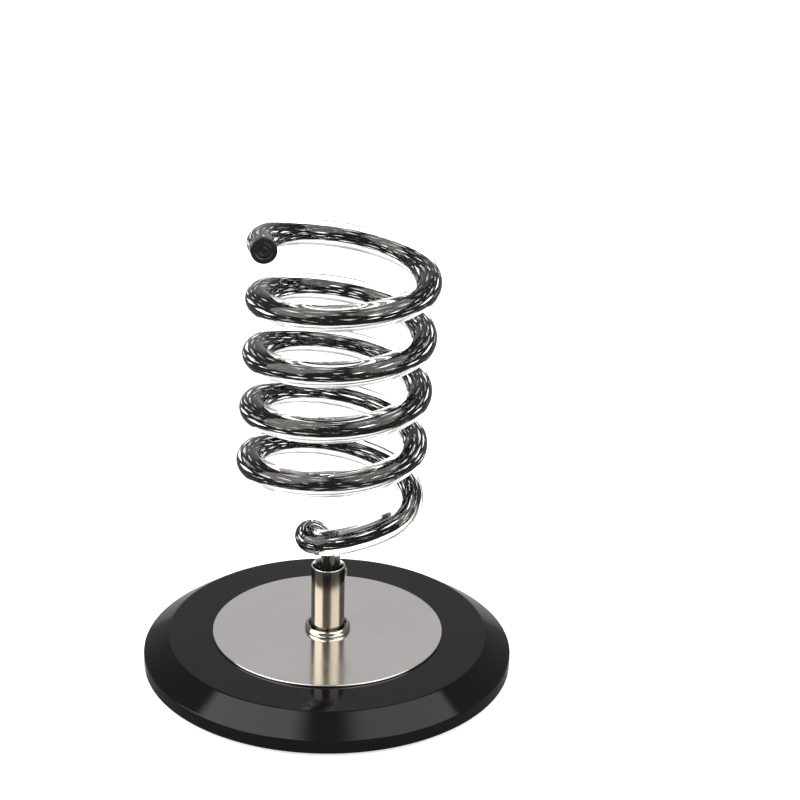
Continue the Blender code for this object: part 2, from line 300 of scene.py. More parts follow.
class NetSettings(bpy.types.PropertyGroup):
    """The braided sleeve inside the rod."""

    radius: FloatProperty(
        name="Radius",
        description="Radius of the sleeve at the middle of its strands",
        default=0.00262,
        unit="LENGTH",
    )
    strands: IntProperty(
        name="Strands",
        description="Strands that turn each way",
        default=10,
        min=4,
    )
    twist: FloatProperty(
        name="Twist length",
        description="Run of the rod in which a strand goes once round",
        default=0.26,
        unit="LENGTH",
    )
    unevenness: FloatProperty(
        name="Unevenness",
        description="How far a strand strays, as a part of the room between two",
        default=0.3,
        min=0.0,
        max=0.5,
    )
    width: FloatProperty(
        name="Strand width",
        description="Width of a strand",
        default=0.00084,
        unit="LENGTH",
    )
    thickness: FloatProperty(
        name="Strand thickness",
        description="Thickness of a strand",
        default=0.0002,
        unit="LENGTH",
    )
    weave: FloatProperty(
        name="Weave",
        description="How far a strand goes over and under its neighbours",
        default=0.0001,
        unit="LENGTH",
    )
    colour: FloatVectorProperty(
        name="Colour",
        description="Colour of the strands",
        default=(0.0025, 0.0025, 0.0027),
        subtype="COLOR",
    )


class CapSettings(bpy.types.PropertyGroup):
    """The cap on the rod's free end."""

    thickness: FloatProperty(
        name="Thickness",
        description="Thickness of the cap's disc",
        default=0.002,
        unit="LENGTH",
    )
    colour: FloatVectorProperty(
        name="Colour",
        description="Colour of the cap",
        default=(0.006, 0.006, 0.006),
        subtype="COLOR",
    )


class StageSettings(bpy.types.PropertyGroup):
    """Floor, light and camera."""

    floor_colour: FloatVectorProperty(
        name="Floor colour",
        description="Colour of the pale floor",
        default=(0.9, 0.9, 0.9),
        subtype="COLOR",
    )
    panel_light: FloatProperty(
        name="Panel light",
        description="Brightness of the two soft panels, left and right",
        default=3.0,
    )
    room_light: FloatProperty(
        name="Room light",
        description="Brightness of the dim room round the panels",
        default=0.24,
    )
    backdrop_light: FloatProperty(
        name="Backdrop light",
        description="Brightness that the white backdrop adds to the room's",
        default=0.25,
    )
    lens: FloatProperty(
        name="Lens",
        description="Focal length of the camera, in millimetres",
        default=90.88,
    )


class HolderSettings(bpy.types.PropertyGroup):
    """All the settings of the holder."""

    pad: PointerProperty(type=PadSettings, name="Pad", description="Foam pad")
    base: PointerProperty(type=BaseSettings, name="Base", description="Base disc")
    plate: PointerProperty(type=PlateSettings, name="Plate", description="Face plate")
    post: PointerProperty(type=PostSettings, name="Post", description="Post and collar")
    clamp: PointerProperty(type=ClampSettings, name="Clamp", description="Clamp screw")
    coil: PointerProperty(type=CoilSettings, name="Coil", description="Clear rod")
    net: PointerProperty(type=NetSettings, name="Net", description="Braided sleeve")
    cap: PointerProperty(type=CapSettings, name="Cap", description="End cap")
    stage: PointerProperty(type=StageSettings, name="Stage", description="Stage")


# Node trees


def node(tree, kind, inputs=None, **settings):
    """A shader node; a socket given as an input is linked, and a value is set."""
    made = tree.nodes.new("ShaderNode" + kind)
    for key, value in settings.items():
        setattr(made, key, value)
    for key, value in (inputs or {}).items():
        if isinstance(value, bpy.types.NodeSocket):
            tree.links.new(value, made.inputs[key])
        else:
            made.inputs[key].default_value = value
    return made


def reckon(tree, operation, *values):
    """The result of a Math node."""
    return node(tree, "Math", dict(enumerate(values)), operation=operation).outputs[0]


def softly(tree, value, low, high, first=0.0, last=1.0):
    """A smooth step from first, at low, to last, at high."""
    ramp = {"Value": value, "From Min": low, "From Max": high}
    ramp.update({"To Min": first, "To Max": last})
    made = node(tree, "MapRange", ramp, interpolation_type="SMOOTHSTEP")
    return made.outputs["Result"]


def grain(tree, scale, stretch=(1.0, 1.0, 1.0), detail=3.0, roughness=0.5):
    """Noise over the piece, in the row's metres; stretch below 1 draws it out."""
    place_at = node(tree, "TexCoord").outputs["Object"]
    drawn = node(tree, "Mapping", {"Vector": place_at, "Scale": stretch})
    values = {"Vector": drawn.outputs[0], "Scale": scale}
    values.update({"Detail": detail, "Roughness": roughness})
    return node(tree, "TexNoise", values).outputs["Fac"]


def tinted(tree, amount, dark, light, low=0.3, high=0.7):
    """A colour from dark to light as amount goes from low to high."""
    ramp = node(tree, "ValToRGB", {"Fac": amount})
    ramp.color_ramp.elements[0].position = low
    ramp.color_ramp.elements[1].position = high
    ramp.color_ramp.elements[0].color = (*dark, 1.0)
    ramp.color_ramp.elements[1].color = (*light, 1.0)
    return ramp.outputs["Color"]


def shaded(colour, factor):
    return tuple(min(1.0, channel * factor) for channel in colour)


def relief(tree, height, distance, strength=1.0, over=None):
    """The normal of a fine relief, distance metres high."""
    values = {"Height": height, "Distance": distance, "Strength": strength}
    if over is not None:
        values["Normal"] = over
    return node(tree, "Bump", values).outputs["Normal"]


def new_finish(name, **sockets):
    """A material with its Principled shader, sockets named with _ for a space."""
    finish = bpy.data.materials.new(name)
    finish.use_nodes = True
    tree = finish.node_tree
    shader = tree.nodes["Principled BSDF"]
    for key, value in sockets.items():
        shader.inputs[key.replace("_", " ")].default_value = value
    return finish, tree, shader


def wire(tree, shader, **sockets):
    for key, value in sockets.items():
        tree.links.new(value, shader.inputs[key.replace("_", " ")])


def black_base_finish(settings):
    """Gloss black: faint cloudiness, a trace of dust and orange peel."""
    finish, tree, shader = new_finish("black_base", Specular_IOR_Level=0.23)
    cloud = grain(tree, 28.0, detail=4.0)
    speck = grain(tree, 1500.0, detail=1.0)
    dust = softly(tree, speck, 0.74, 0.8)
    colour = tinted(tree, cloud, shaded(settings.colour, 0.8), shaded(settings.colour, 1.25))
    dusty = node(tree, "Mix", {0: reckon(tree, "MULTIPLY", dust, 0.12)}, data_type="RGBA")
    tree.links.new(colour, dusty.inputs[6])
    dusty.inputs[7].default_value = (0.09, 0.09, 0.09, 1.0)
    rough = softly(tree, cloud, 0.3, 0.7, settings.roughness - 0.02, settings.roughness + 0.03)
    peel = relief(tree, grain(tree, 420.0, detail=2.0), 0.00002, 0.35)
    wire(tree, shader, Base_Color=dusty.outputs[2], Roughness=rough, Normal=peel)
    return finish


def foam_finish(settings):
    """Closed-cell foam rubber: matt, pitted."""
    finish, tree, shader = new_finish("black_foam", Specular_IOR_Level=0.25)
    cells = node(tree, "TexVoronoi", {"Scale": 1400.0})
    tree.links.new(node(tree, "TexCoord").outputs["Object"], cells.inputs["Vector"])
    cloud = grain(tree, 60.0)
    colour = tinted(tree, cloud, shaded(settings.colour, 0.8), shaded(settings.colour, 1.4))
    pits = relief(tree, cells.outputs["Distance"], 0.0002, 0.6)
    rough = softly(tree, cloud, 0.3, 0.7, 0.82, 0.95)
    wire(tree, shader, Base_Color=colour, Roughness=rough, Normal=pits)
    return finish


def satin_plate_finish(settings):
    """Satin mirror steel: fine drawn grain, faint smudges and a hairline scratch or two."""
    finish, tree, shader = new_finish("satin_steel", Metallic=1.0)
    drawn = grain(tree, 900.0, stretch=(0.04, 1.0, 1.0), detail=2.0)
    cloud = grain(tree, 26.0, detail=5.0, roughness=0.6)
    colour = tinted(tree, cloud, shaded(settings.colour, 0.96), shaded(settings.colour, 1.03))
    low, high = settings.roughness - 0.02, settings.roughness + 0.05
    rough = softly(tree, cloud, 0.35, 0.7, low, high)
    lines = relief(tree, drawn, 0.000004, 0.5)
    scratch = grain(tree, 75.0, stretch=(1.0, 0.12, 1.0), detail=0.0)
    fine = softly(tree, reckon(tree, "ABSOLUTE", reckon(tree, "SUBTRACT", scratch, 0.5)), 0.0, 0.004)
    lines = relief(tree, fine, 0.000004, 0.15, over=lines)
    wire(tree, shader, Base_Color=colour, Roughness=rough, Normal=lines)
    return finish


def polished_steel_finish(settings):
    """Polished tube: fine rings left by the polishing belt, slightly warm, and a painted highlight
    that makes the rim of the mouth near white.
    """
    finish, tree, shader = new_finish("polished_steel", Metallic=1.0)
    rings = grain(tree, 1100.0, stretch=(0.08, 0.08, 1.0), detail=2.0)
    cloud = grain(tree, 160.0, stretch=(1.0, 1.0, 0.4), detail=4.0)
    colour = tinted(tree, cloud, shaded(settings.colour, 0.93), shaded(settings.colour, 1.04))
    place_at = node(tree, "TexCoord").outputs["Object"]
    height = node(tree, "SeparateXYZ", {0: place_at}).outputs[2]
    # painted highlight: the top of the lip, round the mouth, is painted near white
    lip = softly(tree, height, POST_MOUTH - 0.5 * MM, POST_MOUTH - 0.3 * MM)
    rim_highlighted = node(tree, "Mix", {0: lip, 6: colour}, data_type="RGBA")
    rim_highlighted.inputs[7].default_value = (0.95, 0.94, 0.9, 1.0)
    rough = softly(tree, cloud, 0.3, 0.7, 0.1, 0.17)
    lines = relief(tree, rings, 0.000004, 0.35)
    wire(tree, shader, Base_Color=rim_highlighted.outputs[2], Roughness=rough, Normal=lines)
    return finish


def bright_finish(name, colour, roughness, cloud_scale):
    """Bright plating with faint handling marks."""
    finish, tree, shader = new_finish(name, Metallic=1.0)
    cloud = grain(tree, cloud_scale, detail=4.0)
    tone = tinted(tree, cloud, shaded(colour, 0.94), shaded(colour, 1.03))
    rough = softly(tree, cloud, 0.35, 0.75, roughness, roughness * 2.2)
    ripple = relief(tree, cloud, 0.00002, 0.12)
    wire(tree, shader, Base_Color=tone, Roughness=rough, Normal=ripple)
    return finish


def zinc_finish():
    """Zinc plate: pale grey with a faint spangle."""
    finish, tree, shader = new_finish("zinc_plate", Metallic=1.0)
    cells = node(tree, "TexVoronoi", {"Scale": 900.0})
    tree.links.new(node(tree, "TexCoord").outputs["Object"], cells.inputs["Vector"])
    cloud = grain(tree, 300.0)
    colour = tinted(tree, cells.outputs["Distance"], (0.5, 0.51, 0.54), (0.66, 0.66, 0.66))
    rough = softly(tree, cloud, 0.3, 0.7, 0.28, 0.42)
    wire(tree, shader, Base_Color=colour, Roughness=rough)
    return finish


def ballast_finish():
    """Mill-scaled steel plate: dull grey with darker patches."""
    finish, tree, shader = new_finish("mill_steel", Metallic=0.7)
    cloud = grain(tree, 90.0, detail=6.0, roughness=0.65)
    colour = tinted(tree, cloud, (0.1, 0.1, 0.105), (0.24, 0.235, 0.23))
    rough = softly(tree, cloud, 0.3, 0.7, 0.45, 0.7)
    skin = relief(tree, grain(tree, 700.0), 0.00005, 0.5)
    wire(tree, shader, Base_Color=colour, Roughness=rough, Normal=skin)
    return finish


def clear_rod_finish(settings):
    """Clear polished acrylic; its shadow is let through, so that the net inside is lit."""
    finish, tree, shader = new_finish(
        "clear_acrylic", Transmission_Weight=1.0, IOR=1.49, Specular_IOR_Level=0.5
    )
    cloud = grain(tree, 40.0, detail=2.0)
    colour = tinted(tree, cloud, shaded(settings.clarity, 0.99), settings.clarity)
    rough = softly(tree, cloud, 0.45, 0.8, 0.0, 0.015)
    draw = relief(tree, grain(tree, 55.0, detail=1.0), 0.00006, 0.15)
    wire(tree, shader, Base_Color=colour, Roughness=rough, Normal=draw)
    through = node(tree, "BsdfTransparent", {"Color": (0.93, 0.94, 0.94, 1.0)})
    ray = node(tree, "LightPath")
    mixed = node(tree, "MixShader", {0: ray.outputs["Is Shadow Ray"]})
    tree.links.new(shader.outputs[0], mixed.inputs[1])
    tree.links.new(through.outputs[0], mixed.inputs[2])
    tree.links.new(mixed.outputs[0], tree.nodes["Material Output"].inputs["Surface"])
    return finish


def net_finish(settings):
    """Black nylon strands: nearly matt, each a bundle of fine filaments."""
    finish, tree, shader = new_finish("black_nylon", Specular_IOR_Level=0.03)
    cloud = grain(tree, 700.0, detail=2.0)
    colour = tinted(tree, cloud, shaded(settings.colour, 0.7), shaded(settings.colour, 1.6))
    rough = softly(tree, cloud, 0.3, 0.7, 0.4, 0.6)
    threads = relief(tree, grain(tree, 5000.0, detail=1.0), 0.00002, 0.1)
    wire(tree, shader, Base_Color=colour, Roughness=rough, Normal=threads)
    return finish


def cap_finish(settings):
    """Moulded black plastic with faint turning rings."""
    finish, tree, shader = new_finish("black_cap", Specular_IOR_Level=0.5)
    cloud = grain(tree, 220.0)
    colour = tinted(tree, cloud, shaded(settings.colour, 0.8), shaded(settings.colour, 1.3))
    rough = softly(tree, cloud, 0.3, 0.7, 0.14, 0.22)
    skin = relief(tree, grain(tree, 900.0), 0.00002, 0.3)
    wire(tree, shader, Base_Color=colour, Roughness=rough, Normal=skin)
    return finish


# Shapes


def rounded(corners, steps=5):
    """Outline points from corners of (radius, height, rounding), with a point just
    outside each rounding so that the flats beside it stay flat."""
    just_outside = 1.3
    points = []
    for before, here, after in zip(
        corners[-1:] + corners[:-1], corners, corners[1:] + corners[:1]
    ):
        corner, ease = Vector(here[:2]), here[2]
        if not ease:
            points.append(corner)
            continue
        back = (Vector(before[:2]) - corner).normalized()
        on = (Vector(after[:2]) - corner).normalized()
        points.append(corner + back * ease * just_outside)
        for i in range(steps + 1):
            t = i / steps
            points.append(corner + back * ease * (1 - t) ** 2 + on * ease * t**2)
        points.append(corner + on * ease * just_outside)
    return points


def solid(name, points, faces, sharp=40.0):
    """A closed mesh, its faces pointing out, smooth but for its sharp edges."""
    mesh = bpy.data.meshes.new(name)
    mesh.from_pydata(points, [], faces)
    shape = bmesh.new()
    shape.from_mesh(mesh)
    bmesh.ops.recalc_face_normals(shape, faces=shape.faces)
    shape.to_mesh(mesh)
    shape.free()
    mesh.shade_smooth()
    mesh.set_sharp_from_angle(angle=math.radians(sharp))
    return mesh


def turned(name, outline, segments=192):
    """A body turned about +Z from an outline of (radius, height) points."""
    on_axis = 1e-7
    points, faces, rings = [], [], []
    turn = [math.tau * i / segments for i in range(segments)]
    for radius, height in outline:
        first = len(points)
        if radius < on_axis:
            points.append((0.0, 0.0, height))
            rings.append([first] * segments)
        else:
            points += [(radius * math.cos(a), radius * math.sin(a), height) for a in turn]
            rings.append(list(range(first, first + segments)))
    for ring, following in zip(rings, rings[1:] + rings[:1]):
        for i in range(segments):
            j = (i + 1) % segments
            corners = dict.fromkeys((ring[i], ring[j], following[j], following[i]))
            if len(corners) > 2:
                faces.append(tuple(corners))
    return solid(name, points, faces)


def place(mesh, body, slot, finish, *nodes):
    """Puts a finished mesh in place of its plain solids, moving with their body."""
    piece = bpy.data.objects.new(mesh.name, mesh)
    bpy.context.scene.collection.objects.link(piece)
    mesh.materials.append(finish)
    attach(piece, body)
    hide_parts(*nodes)
    return piece


def dress(names, finish):
    """Gives kept solids a finish."""
    for name in names:
        solid_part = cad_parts[name]
        solid_part.data.materials.clear()
        solid_part.data.materials.append(finish)


# The rod's run

# Pull points of the hook that brings the rod from the coil's foot to the post, in mm.
# They are the rounded result of a fitting program, not worked out from dimensions
HOOK = (
    (-1.0, 5.5, 72.5),
    (-6.0, 6.0, 82.5),
    (-13.5, -2.5, 87.0),
    (-11.5, -14.5, 85.5),
    (2.5, -20.5, 88.0),
    (16.5, -21.5, 92.0),
    (30.5, -21.0, 97.0),
    (44.5, -16.0, 103.0),
)
COIL_STEPS = 54  # steps of 30 degrees: four and a half turns
STEP_ANGLE = math.radians(30.0)
FREE_END_ANGLE = 0.1
FOOT_SPACING = 13.0 * MM
MOUTH_LIFTS = (-5.5 * MM, 1.0 * MM)  # the last straight pull points, from the post's mouth
TIP_SPACING = 11.0 * MM
SPLINE_STEPS = 60  # points reckoned between two pull points
RING_SPACING = 2.2 * MM

def helix_point(coil, angle, swell=1.0):
    """A point of the leaning helix, with its radius swelled by a factor."""
    radius = coil.radius * swell
    rise = coil.pitch * angle / math.tau
    point = Vector((radius * math.cos(angle), radius * math.sin(angle), rise))
    return Matrix.Rotation(coil.lean, 4, "Y") @ point + Vector((0, 0, coil.start))


def free_end(coil):
    """Where the rod ends and the way it points."""
    angle = COIL_STEPS * STEP_ANGLE + FREE_END_ANGLE
    way = Vector(
        (
            -coil.radius * math.sin(angle),
            coil.radius * math.cos(angle),
            coil.pitch / math.tau,
        )
    )
    way = (Matrix.Rotation(coil.lean, 4, "Y") @ way).normalized()
    return helix_point(coil, angle) + way * coil.free_end, way


def rod_pulls(coil):
    """The pull points of the rod's spline. The swell allows for what it rounds off."""
    swell = 3.0 / (2.0 + math.cos(STEP_ANGLE))
    pulls = [Vector((0, 0, ROD_FOOT + FOOT_SPACING * i)) for i in (-1, 0, 1)]
    pulls += [Vector((0, 0, POST_MOUTH + lift)) for lift in MOUTH_LIFTS]
    pulls += [Vector(point) * MM for point in HOOK]
    pulls += [helix_point(coil, s * STEP_ANGLE, swell) for s in range(COIL_STEPS + 1)]
    tip, way = free_end(coil)
    return pulls + [tip + way * TIP_SPACING * i for i in (-1, 0, 1)]


def rod_run(coil, spacing):
    """Points about spacing apart along the rod, and two directions square to it."""
    pulls = np.array([list(pull) for pull in rod_pulls(coil)])
    t = np.linspace(0.0, 1.0, SPLINE_STEPS, endpoint=False)[:, None]
    weights = (
        (1 - t) ** 3,
        3 * t**3 - 6 * t**2 + 4,
        -3 * t**3 + 3 * t**2 + 3 * t + 1,
        t**3,
    )
    dense = [
        sum(w * pull for w, pull in zip(weights, pulls[i : i + 4])) / 6
        for i in range(len(pulls) - 3)
    ]
    dense = np.vstack([*dense, pulls[-2][None]])
    along = np.concatenate([[0.0], np.cumsum(np.linalg.norm(np.diff(dense, axis=0), axis=1))])
    count = int(round(along[-1] / spacing)) + 1
    stops = np.linspace(0.0, along[-1], count)
    centres = np.stack([np.interp(stops, along, dense[:, k]) for k in range(3)], axis=1)
    ways = np.gradient(centres, axis=0)
    ways /= np.linalg.norm(ways, axis=1)[:, None]
    across = np.zeros_like(ways)
    side = np.array([1.0, 0.0, 0.0])
    for i, way in enumerate(ways):
        side = side - way * (side @ way)
        side = side / np.linalg.norm(side)
        across[i] = side
    return stops, centres, ways, across, np.cross(ways, across)


def sheath(centres, across, up, radii, sides, first, inward=False):
    """Points and faces of a sheath round a line of centres; first is its first index."""
    turn = np.linspace(0.0, math.tau, sides, endpoint=False)
    ring = (
        across[:, None] * np.cos(turn)[None, :, None]
        + up[:, None] * np.sin(turn)[None, :, None]
    )
    points = (centres[:, None] + ring * radii[:, None, None]).reshape(-1, 3)
    faces = []
    for r in range(len(centres) - 1):
        a, b = first + r * sides, first + (r + 1) * sides
        for i in range(sides):
            j = (i + 1) % sides
            face = (a + i, a + j, b + j, b + i)
            faces.append(face[::-1] if inward else face)
    return list(map(tuple, points)), faces


def rod_mesh(name, coil):
    """The clear rod with eased ends, and its bore."""
    _, centres, ways, across, up = rod_run(coil, RING_SPACING)
    ease = 0.4 * MM
    foot, tip = (0.0, ease), (-ease, 0.0)
    shift = np.zeros(len(centres) + 2)
    radii = np.full(len(centres) + 2, coil.rod_radius)
    pick = [0, 0, *range(1, len(centres) - 1), len(centres) - 1, len(centres) - 1]
    shift[:2], shift[-2:] = foot, tip
    radii[0] -= ease
    radii[-1] -= ease
    centres = centres[pick] + ways[pick] * shift[:, None]
    across, up = across[pick], up[pick]
    sides, rings = coil.sides, len(centres)
    points, faces = sheath(centres, across, up, radii, sides, 0)
    bore = np.full(rings, coil.bore_radius)
    first = len(points)
    inner, inner_faces = sheath(centres, across, up, bore, sides, first, inward=True)
    points += inner
    faces += inner_faces
    last = (rings - 1) * sides
    for i in range(sides):
        j = (i + 1) % sides
        faces.append((i, first + i, first + j, j))
        faces.append((last + j, first + last + j, first + last + i, last + i))
    return solid(name, points, faces)


def strand_mesh(name, coil, net, hand):
    """All the strands that turn one way, woven over and under those of the other."""
    rows = 4  # stations from one crossing of two strands to the next
    stops, centres, _, across, up = rod_run(coil, net.twist / (2 * net.strands * rows))
    section = 6
    around = np.linspace(0.0, math.tau, section, endpoint=False)
    points, faces = [], []
    over_under = np.cos(math.pi * np.arange(len(stops)) / rows)
    reach = net.radius + hand * net.weave * over_under
    for strand in range(net.strands):
        lag = net.unevenness * math.sin(5.0 * strand + hand)
        turn = math.tau * ((strand + lag) / net.strands + hand * stops / net.twist)
        out = across * np.cos(turn)[:, None] + up * np.sin(turn)[:, None]
        flank = -across * np.sin(turn)[:, None] + up * np.cos(turn)[:, None]
        middle = centres + out * reach[:, None]
        first = len(points)
        for k in range(len(stops)):
            for angle in around:
                points.append(
                    tuple(
                        middle[k]
                        + out[k] * (net.thickness / 2 * math.sin(angle))
                        + flank[k] * (net.width / 2 * math.cos(angle))
                    )
                )
        for k in range(len(stops) - 1):
            a, b = first + k * section, first + (k + 1) * section
            for i in range(section):
                j = (i + 1) % section
                faces.append((a + i, a + j, b + j, b + i))
        end = first + (len(stops) - 1) * section
        faces.append(tuple(first + i for i in reversed(range(section))))
        faces.append(tuple(end + i for i in range(section)))
    return solid(name, points, faces, sharp=80.0)


# Pieces


def make_pad(pad):
    """The foam disc that the base stands on."""
    low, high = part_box("anti_slip_pad")
    upper_edge, lower_edge = 0.2 * MM, 0.3 * MM
    corners = [
        (0.0, high.z, 0.0),
        (pad.radius, high.z, upper_edge),
        (pad.radius, low.z, lower_edge),
        (0.0, low.z, 0.0),
    ]
    mesh = turned("foam_pad", rounded(corners))
    place(mesh, "stand", "pad", foam_finish(pad), "anti_slip_pad")


def make_base(base):
    """The black disc: flat top, wide chamfer, upright rim and the recess below."""
    if base.top_radius >= base.radius:
        raise RuntimeError("the base's top has to be narrower than its rim")
    low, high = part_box("base_disc")
    recess_radius, recess_top = 82.0 * MM, low.z + 6.0 * MM
    pocket_radius, pocket_top = 12.0 * MM, low.z + 11.0 * MM
    shoulder_edge, inner_edge = base.edge * 0.7, 0.3 * MM
    corners = [
        (BOLT_HOLE, high.z, 0.0),
        (base.top_radius, high.z, base.edge),
        (base.radius, base.rim_top, shoulder_edge),
        (base.radius, low.z, base.edge),
        (recess_radius, low.z, inner_edge),
        (recess_radius, recess_top, inner_edge),
        (pocket_radius, recess_top, inner_edge),
        (pocket_radius, pocket_top, inner_edge),
        (BOLT_HOLE, pocket_top, 0.0),
    ]
    mesh = turned("base_body", rounded(corners), segments=256)
    place(mesh, "stand", "base", black_base_finish(base), "base_disc")


def make_plate(plate):
    """The thin steel disc with its eased edge."""
    low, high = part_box("face_plate")
    lower_edge = 0.1 * MM
    corners = [
        (BOLT_HOLE, high.z, 0.0),
        (plate.radius, high.z, plate.edge),
        (plate.radius, low.z, lower_edge),
        (BOLT_HOLE, low.z, 0.0),
    ]
    mesh = turned("steel_plate", rounded(corners), segments=256)
    place(mesh, "stand", "plate", satin_plate_finish(plate), "face_plate")


def make_post(post):
    """The steel tube with its rolled lip. Its wall has no hole for the clamp's insert,
    whose flange covers the place."""
    low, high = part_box("post_tube")
    inner = post.radius - post.wall
    lip, lip_depth = 0.45 * MM, 1.8 * MM
    crest = post.radius - 1.6 * lip
    throat_edge, crest_edge, foot_edge = 0.3 * MM, 0.1 * MM, 0.2 * MM
    corners = [
        (inner, high.z - lip_depth, throat_edge),
        (crest, high.z, crest_edge),
        (post.radius, high.z, lip),
        (post.radius, low.z, foot_edge),
        (inner, low.z, foot_edge),
    ]
    mesh = turned("post_body", rounded(corners), segments=128)
    place(mesh, "stand", "post", polished_steel_finish(post), "post_tube")


def make_collar(post):
    """The domed chrome ring at the foot of the post."""
    low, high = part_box("collar_ring")
    half_width = (post.collar_radius - post.collar_bore) / 2
    middle = post.collar_bore + half_width
    shoulder = low.z + 0.9 * MM
    rise = high.z - shoulder
    chamfer_width, chamfer_height = 0.2 * MM, 0.3 * MM
    steps = 24
    outline = []
    for i in range(steps + 1):
        angle = math.radians(180.0 - 180.0 * i / steps)
        outline.append((middle + half_width * math.cos(angle), shoulder + rise * math.sin(angle)))
    outline += [
        (post.collar_radius, low.z + chamfer_height),
        (post.collar_radius - chamfer_width, low.z),
        (post.collar_bore, low.z),
    ]
    mesh = turned("chrome_collar", outline, segments=128)
    finish = bright_finish("bright_chrome", post.collar_colour, 0.04, 250.0)
    place(mesh, "stand", "chrome", finish, "collar_ring")


def aim_at_clamp(mesh, clamp):
    """Turns a mesh made about +Z onto the clamp screw's axis."""
    turn = Matrix.Rotation(clamp.angle, 4, "Z") @ Matrix.Rotation(math.pi / 2, 4, "Y")
    mesh.transform(Matrix.Translation((0.0, 0.0, CLAMP_HEIGHT)) @ turn)
    return mesh


def thread(outer, low, high, pitch, depth):
    """Outline points of a threaded shank from high down to low."""
    points = []
    count = int((high - low) / pitch * 2)
    for i in range(count + 1):
        radius = outer if i % 2 else outer - depth
        points.append((radius, high - (high - low) * i / count))
    return points


def make_insert(clamp, bore, finish):
    """The flanged insert in the post's wall; distances are from the post's axis."""
    inner_end, flange_seat, outer_face = 8.1 * MM, 10.35 * MM, 11.0 * MM
    body_radius, flange_radius, edge = 3.0 * MM, 4.3 * MM, 0.15 * MM
    corners = [
        (bore, outer_face, edge),
        (flange_radius, outer_face, edge),
        (flange_radius, flange_seat, 0.0),
        (body_radius, flange_seat, 0.0),
        (body_radius, inner_end, 0.0),
        (bore, inner_end, 0.0),
    ]
    mesh = aim_at_clamp(turned("wall_insert", rounded(corners), 64), clamp)
    place(mesh, "stand", "zinc", finish, "clamp_insert")


def make_washer(clamp, bore, finish):
    """The washer between the insert and the screw's head."""
    inner_face, outer_face = 11.3 * MM, 12.0 * MM
    edge, rim_edge = 0.12 * MM, 0.2 * MM
    corners = [
        (bore, outer_face, edge),
        (clamp.washer_radius, outer_face, rim_edge),
        (clamp.washer_radius, inner_face, edge),
        (bore, inner_face, edge),
    ]
    mesh = aim_at_clamp(turned("screw_washer", rounded(corners), 64), clamp)
    place(mesh, "screw_washer", "zinc", finish, "clamp_washer")


def make_screw(clamp):
    """The screw, with its domed head, its thread and its cross recess."""
    seat, skirt, rise = 12.3 * MM, 0.5 * MM, 1.9 * MM
    tip, thread_end = 7.85 * MM, 8.3 * MM
    pitch, thread_depth, tip_taper = 0.7 * MM, 0.3 * MM, 0.5 * MM
    dome, steps = seat + skirt, 16
    outline = [(0.0, dome + rise)]
    for i in range(1, steps + 1):
        angle = math.radians(90.0 - 90.0 * i / steps)
        radius = clamp.head_radius * math.cos(angle)
        outline.append((radius, dome + rise * math.sin(angle)))
    outline.append((clamp.head_radius, seat))
    outline += thread(clamp.shank_radius, thread_end, seat, pitch, thread_depth)
    outline += [(clamp.shank_radius - tip_taper, tip), (0.0, tip)]
    finish = bright_finish("plated_screw", clamp.colour, 0.08, 400.0)
    head = turned("clamp_screw_head", outline, 96)
    piece = place(head, "screw", "screw", finish, "clamp_screw")
    cut_cross(piece, dome + rise)
    aim_at_clamp(piece.data, clamp)


def cut_cross(piece, top):
    """Cuts a cross recess into a screw head that stands about +Z, its top at that height."""
    length, width, depth = 4.4 * MM, 0.8 * MM, 1.2 * MM
    cutters = []
    for size in ((length, width, 2 * depth), (width, length, 2 * depth)):
        block = bmesh.new()
        bmesh.ops.create_cube(block, size=1.0)
        bmesh.ops.scale(block, vec=size, verts=block.verts)
        bmesh.ops.translate(block, vec=(0, 0, top), verts=block.verts)
        cutter_mesh = bpy.data.meshes.new("recess")
        block.to_mesh(cutter_mesh)
        block.free()
        cutter = bpy.data.objects.new("recess", cutter_mesh)
        bpy.context.scene.collection.objects.link(cutter)
        cut = piece.modifiers.new("recess", "BOOLEAN")
        cut.operation, cut.solver, cut.object = "DIFFERENCE", "EXACT", cutter
        cutters.append(cutter)
    bpy.context.view_layer.update()
    cut_mesh = bpy.data.meshes.new_from_object(
        piece.evaluated_get(bpy.context.evaluated_depsgraph_get())
    )
    piece.modifiers.clear()
    piece.data = cut_mesh
    cut_mesh.name = "clamp_screw_head"
    cut_mesh.set_sharp_from_angle(angle=math.radians(35.0))
    for cutter in cutters:
        bpy.data.objects.remove(cutter, do_unlink=True)


def make_clamp(clamp):
    """The insert in the wall, the washer and the cross-recessed screw."""
    zinc = bright_finish("plated_washer", clamp.colour, 0.12, 500.0)
    bore = clamp.shank_radius + 0.3 * MM
    make_insert(clamp, bore, zinc)
    make_washer(clamp, bore, zinc)
    make_screw(clamp)


def make_rod(coil):
    """The clear rod."""
    place(rod_mesh("clear_rod", coil), "coil", "rod", clear_rod_finish(coil), "spiral_rod")


def make_net(coil, net):
    """The braided sleeve, as its right-handed and its left-handed strands."""
    if net.radius + net.weave + net.thickness / 2 >= coil.rod_radius:
        raise RuntimeError("the braided sleeve has to fit inside the rod")
    finish = net_finish(net)
    for name, hand in (("net_right_strands", 1), ("net_left_strands", -1)):
        place(strand_mesh(name, coil, net, hand), "coil", "net", finish, "net_core")


